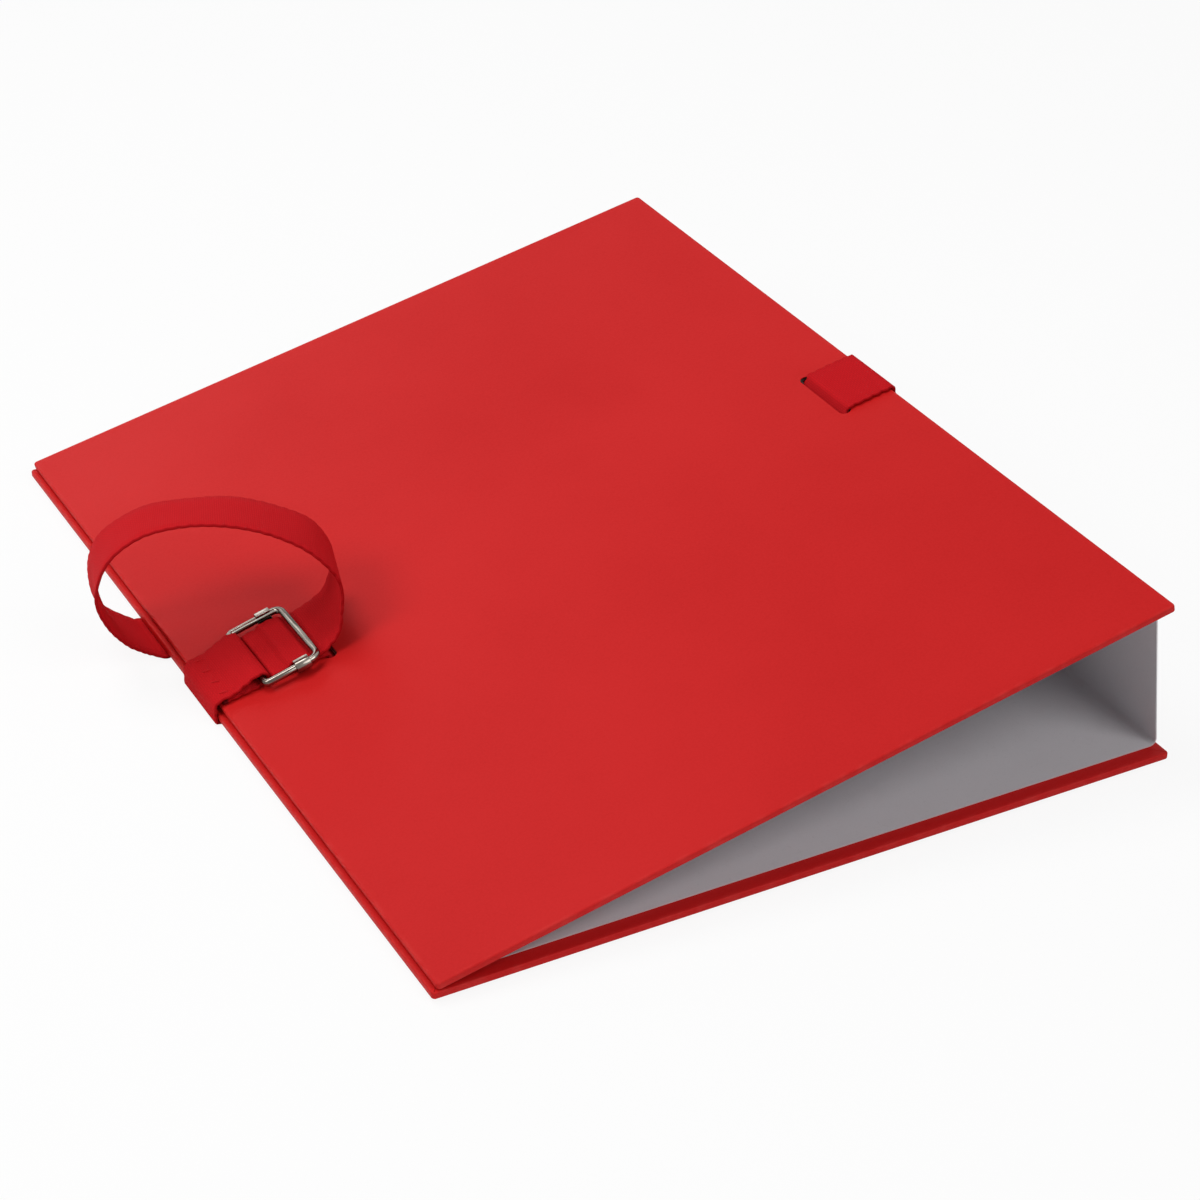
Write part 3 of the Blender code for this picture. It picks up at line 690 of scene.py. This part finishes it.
stitches = bmesh.new()
stitch_places = []
for row in range(stitch_rows):
    y = strap_offset + stitch_pitch * ((stitch_rows - 1) / 2 - row)
    near_edge = Vector((seam_setback - stitch_length / 2, y + stitch_slant / 2, 0))
    far_end = Vector((seam_setback + stitch_length / 2, y - stitch_slant / 2, 0))
    stitch_places += [near_edge, far_end]
for i, (first, second) in enumerate(zip(stitch_places, stitch_places[1:])):
    proud = stitch_above if i % 2 == 0 else stitch_below
    points = []
    for k in range(stitch_steps + 1):
        share = k / stitch_steps
        dip = abs(2 * share - 1) ** stitch_dip_power * stitch_dip
        point = first.lerp(second, share) + Vector((0, 0, strap_surface + proud - dip))
        points.append(front_frame @ point)
    tube(stitches, points, thread_radius, thread_sides)
bmesh.ops.recalc_face_normals(stitches, faces=stitches.faces)
thread_light = (0.60, 0.010, 0.014, 1)
thread_dark = (0.46, 0.006, 0.009, 1)
ply_scale = 900
ply_depth = 0.00008
red_thread, nodes = new_material("red_sewing_thread")
place = nodes.node("ShaderNodeTexCoord", output="Object")
bands = {"Vector": place, "Scale": ply_scale, "Distortion": 1.5}
plies = nodes.node("ShaderNodeTexWave", {"bands_direction": "DIAGONAL"}, bands)
shade(
    red_thread,
    {
        "Base Color": plies.mixed(thread_dark, thread_light),
        "Roughness": 0.65 + plies * 0.1,
        "Specular IOR Level": 0.15,
        "Normal": plies.bump(ply_depth, strength=0.6),
    },
)
seam = new_piece("buckle_seam_stitches", stitches, red_thread, strap_sharp_angle)
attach(seam, "buckle_strap")
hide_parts("buckle_seam")


# ---- Buckle frame ------------------------------------------------------------------------------------------
# A rectangle bent up from one length of round steel wire, nickel-plated. Its two ends meet in the middle of
# the fixed bar, inside the strap's fold.

buckle_half_width = 0.01535
wire_sides = 20
wire_bend_step = math.radians(7.5)
wire_joint_gap = 0.0003
fixed_corner_radius = 0.0016
free_corner_radius = 0.0028
frame_tilt = math.atan2(free_bar_height - fixed_bar_height, buckle_length)
fixed_bar = front_frame @ Vector((buckle_setback, strap_offset, fixed_bar_height))
wire_frame = Matrix.Translation(fixed_bar) @ Matrix.Rotation(-front_slope - frame_tilt, 4, "Y")

# Both nickel colours are darker than plated nickel is: painted dark reflections of the room.
nickel_bright = (0.36, 0.33, 0.29, 1)
nickel_tarnish_and_dark_reflection = (0.07, 0.055, 0.045, 1)
line_scale = 2.2
line_depth = 0.00002
line_shortening = (40, 40, 40)
tarnish_scale = 260
scuff_scale = 3000
nickel, nodes = new_material("bright_nickel_plate")
place = nodes.node("ShaderNodeTexCoord", output="Object")
around_wire = nodes.node("ShaderNodeAttribute", {"attribute_name": "around_wire"}, output="Vector")
stretch = {0: place, 1: line_shortening, 2: around_wire}
along_wire = nodes.node("ShaderNodeVectorMath", {"operation": "MULTIPLY_ADD"}, stretch)
# Bands along the wire, set by which way its surface faces, are painted dark reflections; the same noise gives
# the drawn lines' relief. Tarnish and scuffs dull the plate at random.
drawn_lines_and_reflection_bands = along_wire.noise(line_scale, roughness=0.55)
tarnish = place.noise(tarnish_scale, detail=4, roughness=0.65)
scuffs = place.noise(scuff_scale).rise(0.56, 0.70)
tarnish_and_painted_reflection = drawn_lines_and_reflection_bands.rise(0.42, 0.66) * 0.8 + tarnish * 0.25 + scuffs * 0.1
shade(
    nickel,
    {
        "Base Color": tarnish_and_painted_reflection.mixed(nickel_bright, nickel_tarnish_and_dark_reflection),
        "Metallic": 1.0,
        "Roughness": 0.12 + tarnish * 0.12 + scuffs * 0.06,
        "Normal": (drawn_lines_and_reflection_bands + scuffs * 0.1).bump(line_depth, strength=0.2),
    },
)
wire_corners = [
    (0, wire_joint_gap / 2, 0),
    (0, buckle_half_width, fixed_corner_radius),
    (buckle_length, buckle_half_width, free_corner_radius),
    (buckle_length, -buckle_half_width, free_corner_radius),
    (0, -buckle_half_width, fixed_corner_radius),
    (0, -wire_joint_gap / 2, 0),
]
wire = bmesh.new()
wire_path = [wire_frame @ Vector((x, y, 0)) for x, y in bent_path(wire_corners, wire_bend_step)]
tube(wire, wire_path, wire_radius, wire_sides)
around = wire.verts.layers.float_vector.new("around_wire")
to_wire = wire_frame.to_3x3().inverted()
wire_middle = wire_frame @ Vector((buckle_length / 2, 0, 0))
for vert in wire.verts:
    nearest = min(wire_path, key=lambda point: (point - vert.co).length)
    aside, outwards = to_wire @ (vert.co - nearest), to_wire @ (nearest - wire_middle)
    vert[around] = (aside.xy.dot(outwards.xy.normalized()) / wire_radius, aside.z / wire_radius, 0)
bmesh.ops.recalc_face_normals(wire, faces=wire.faces)
buckle_wire = new_piece("buckle_wire_frame", wire, nickel)
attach(buckle_wire, "buckle_frame")
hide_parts("buckle_frame")


# ---- Buckle slide ------------------------------------------------------------------------------------------
# A strip of nickel-plated sheet steel. Its plate lies under the strap, and its two ends are curled round the
# frame's arms as sleeves, so that it runs along them and grips the strap.

slide_length = 0.0048
slide_sheet = 0.0007
slide_setback = 0.027
slide_running_gap = 0.00015
slide_lip = 0.0012
slide_edge_radius = 0.00014
slide_edge_segments = 3
slide_edge_angle = 50
slide_sharp_angle = 40
curl_steps = 14
grip = wire_radius + slide_running_gap + slide_sheet / 2
slide_middle = (slide_setback - buckle_setback) / math.cos(frame_tilt)

plate = bmesh.new()
halves = (-slide_length / 2, slide_length / 2)
ends = [(slide_middle + half, buckle_half_width - slide_lip, grip) for half in halves]
edge = plate.edges.new([plate.verts.new(end) for end in ends])


def carry(edge, move):
    """Draws the sheet on from an edge in a straight line, and returns its new edge."""
    made = bmesh.ops.extrude_edge_only(plate, edges=[edge])["geom"]
    verts = [part for part in made if isinstance(part, bmesh.types.BMVert)]
    bmesh.ops.translate(plate, vec=move, verts=verts)
    return next(part for part in made if isinstance(part, bmesh.types.BMEdge))


def curl(edge, centre):
    """Draws the sheet on from an edge in a half turn round one of the arms, and returns its new edge."""
    made = bmesh.ops.spin(
        plate, geom=[edge, *edge.verts], cent=centre, axis=(1, 0, 0), angle=-math.pi, steps=curl_steps
    )["geom_last"]
    return next(part for part in made if isinstance(part, bmesh.types.BMEdge))


edge = carry(edge, (0, slide_lip, 0))
edge = curl(edge, (slide_middle, buckle_half_width, 0))
edge = carry(edge, (0, -2 * buckle_half_width, 0))
edge = curl(edge, (slide_middle, -buckle_half_width, 0))
carry(edge, (0, slide_lip, 0))
bmesh.ops.recalc_face_normals(plate, faces=plate.faces)
bmesh.ops.transform(plate, matrix=wire_frame, verts=plate.verts)
slide = new_piece("buckle_slide_plate", plate, nickel, slide_sharp_angle)
thicken = slide.modifiers.new("sheet", "SOLIDIFY")
thicken.thickness = slide_sheet
thicken.offset = 0.0
thicken.use_even_offset = True
round_over = slide.modifiers.new("rounded_edges", "BEVEL")
round_over.width = slide_edge_radius
round_over.segments = slide_edge_segments
round_over.limit_method = "ANGLE"
round_over.angle_limit = math.radians(slide_edge_angle)
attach(slide, "buckle_slide")
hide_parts("buckle_slide")


# ---- Strap's free tail -------------------------------------------------------------------------------------
# The webbing comes out of the front cover's opening slot, passes under the free bar, turns back over the
# slide and under the bar again, and stands up in a loop. Its heat-cut end is tucked under the back cover.

strap_turn = 0.0179
strap_ramp = 0.0016
free_bar_setback = buckle_setback + buckle_length * math.cos(frame_tilt)
slide_rise = (slide_middle + slide_length / 2) * math.sin(frame_tilt)
slide_top = fixed_bar_height + slide_rise - wire_radius - slide_running_gap
over_slide = slide_top + clearance + strap_thickness / 2
slide_start = slide_setback - slide_length / 2 - clearance
slide_end = slide_setback + slide_length / 2 + clearance
turn_bend = (strap_second - strap_outside) / 2
threading = [
    tail_start,
    (slot_passage(opening_slot, -1, strap_outside), strap_outside, strap_bend),
    (strap_turn, strap_outside, turn_bend),
    (strap_turn, strap_second, turn_bend),
    (slide_start - strap_ramp, strap_second, strap_bend),
    (slide_start, over_slide, strap_bend),
    (slide_end, over_slide, strap_bend),
    (slide_end + strap_ramp, strap_second, strap_bend),
    (free_bar_setback, strap_second, 0),
]

# The loop: places from the opening edge, from the strap's middle line and above its second layer, each with
# the direction across the strap to its near edge.
tail_loop = [
    ((0.0355, 0.0000, 0.0000), (0.00, -1.00, 0.00)),
    ((0.0418, 0.0006, 0.0021), (-0.07, -0.99, 0.08)),
    ((0.0462, 0.0013, 0.0059), (-0.18, -0.97, 0.16)),
    ((0.0501, 0.0024, 0.0161), (-0.27, -0.95, 0.18)),
    ((0.0468, 0.0054, 0.0270), (-0.33, -0.93, 0.16)),
    ((0.0386, 0.0097, 0.0352), (-0.31, -0.93, 0.20)),
    ((0.0279, 0.0147, 0.0415), (-0.30, -0.93, 0.22)),
    ((0.0152, 0.0197, 0.0450), (-0.30, -0.92, 0.26)),
    ((0.0027, 0.0241, 0.0456), (-0.35, -0.91, 0.22)),
    ((-0.0081, 0.0276, 0.0411), (-0.39, -0.91, 0.11)),
    ((-0.0142, 0.0308, 0.0326), (-0.40, -0.90, -0.18)),
    ((-0.0156, 0.0346, 0.0215), (-0.21, -0.92, -0.33)),
    ((-0.0139, 0.0386, 0.0090), (0.01, -0.96, -0.27)),
    ((-0.0108, 0.0406, 0.0017), (0.09, -0.98, -0.17)),
]
# The end under the back cover: places from its opening edge, and above the level that the strap rests at.
tail_end = [(-0.0043, 0.0021), (-0.0003, 0.00014), (0.008, 0.0), (0.018, 0.0)]
tail_end_side = 0.0417


def smooth_curve(points, steps=10):
    """Points along a smooth curve through the given ones."""
    ends = [2 * points[0] - points[1], *points, 2 * points[-1] - points[-2]]
    found = []
    for a, b, c, d in zip(ends, ends[1:], ends[2:], ends[3:]):
        for k in range(steps):
            t = k / steps
            bend = (2 * a - 5 * b + 4 * c - d) * t * t + (3 * b - a - 3 * c + d) * t**3
            found.append((2 * b + (c - a) * t + bend) / 2)
    return [*found, points[-1]]


loop_centres, loop_sides = [], []
for (x, y, above), side in tail_loop:
    loop_centres.append(front_frame @ Vector((x, strap_offset + y, strap_second + above)))
    loop_sides.append(front_frame.to_3x3() @ Vector(side))
for x, above in tail_end:
    loop_centres.append(back_frame @ Vector((x, strap_offset + tail_end_side, strap_outside - above)))
    loop_sides.append(Vector((0, -1, 0)))
tail_stations = along_cover(front_frame, threading)
tail_stations += zip(smooth_curve(loop_centres), smooth_curve(loop_sides))
tail = webbing("strap_free_tail", tail_stations, red_webbing, ["last"])
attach(tail, "front_cover")
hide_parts("strap_tail")


# ---- Studio ------------------------------------------------------------------------------------------------
# A plain white table in a white room, with even light from all round and four large soft lamps: overhead,
# on the left, before the pocket and low behind the file. The camera stands where the photograph was taken.

floor_height = -0.0014
floor_reach = 3.0
floor_white = (0.90, 0.90, 0.90, 1)
floor_glow = 0.9
white = (1, 1, 1, 1)
room_light = 0.13
# Each lamp's place, width and power.
lamps = {
    "top_lamp": (Vector((-0.34, 0.30, 1.08)), 0.56, 5.2),
    "left_lamp": (Vector((-1.02, -0.08, 0.90)), 0.52, 5.0),
    "front_lamp": (Vector((0.72, -2.15, 2.10)), 1.9, 33.0),
    "back_lamp": (Vector((-0.28, 1.57, 0.73)), 0.9, 3.0),
}
photo_pixels = 1200
focal_pixels = 3063.5
sensor = 36.0
camera_place = (-0.3792, -0.7382, 0.5132)
camera_turn_degrees = (58.3918, -0.1013, -28.0515)
nearest_view, farthest_view = 0.01, 20.0


def seen(nodes):
    """1 for what the camera sees, also by way of a mirror or glass, and 0 for the light on other things."""
    rays = ("Is Camera Ray", "Is Glossy Ray", "Is Transmission Ray")
    camera_ray, glossy, transmitted = [nodes.node("ShaderNodeLightPath", output=ray) for ray in rays]
    return nodes.math("MINIMUM", camera_ray + glossy + transmitted, 1.0)


ground = bmesh.new()
bmesh.ops.create_grid(ground, x_segments=1, y_segments=1, size=floor_reach)
bmesh.ops.translate(ground, vec=(0, 0, floor_height), verts=ground.verts)
white_table, nodes = new_material("white_table")
shade(white_table, {"Base Color": floor_white, "Roughness": 0.9, "Specular IOR Level": 0.1})
glow = nodes.node("ShaderNodeEmission", None, {"Color": white, "Strength": 1.0})
matt = Socket(white_table.node_tree, white_table.node_tree.nodes["Principled BSDF"].outputs[0])
surface = nodes.node("ShaderNodeMixShader", None, {0: seen(nodes) * floor_glow, 1: matt, 2: glow})
nodes.feed(white_table.node_tree.nodes["Material Output"].inputs["Surface"], surface)
table = new_piece("white_table_top", ground, white_table)

world = bpy.data.worlds.new("white_room")
bpy.context.scene.world = world
world.use_nodes = True
room = Socket(world.node_tree)
background = world.node_tree.nodes["Background"]
background.inputs["Color"].default_value = white
room.feed(background.inputs["Strength"], seen(room) * (1 - room_light) + room_light)

for name, (lamp_place, lamp_size, lamp_power) in lamps.items():
    lamp_data = bpy.data.lights.new(name, "AREA")
    lamp_data.shape = "DISK"
    lamp_data.size = lamp_size
    lamp_data.energy = lamp_power
    lamp = bpy.data.objects.new(name, lamp_data)
    lamp.location = lamp_place
    lamp.rotation_euler = (-lamp_place).to_track_quat("-Z", "Y").to_euler()
    bpy.context.scene.collection.objects.link(lamp)

camera_data = bpy.data.cameras.new("photograph_view")
camera_data.sensor_width = sensor
camera_data.lens = focal_pixels / photo_pixels * sensor
camera_data.clip_start = nearest_view
camera_data.clip_end = farthest_view
camera = bpy.data.objects.new("photograph_view", camera_data)
camera.location = camera_place
camera.rotation_euler = [math.radians(angle) for angle in camera_turn_degrees]
bpy.context.scene.collection.objects.link(camera)
bpy.context.scene.camera = camera
bpy.context.scene.view_settings.view_transform = "Standard"
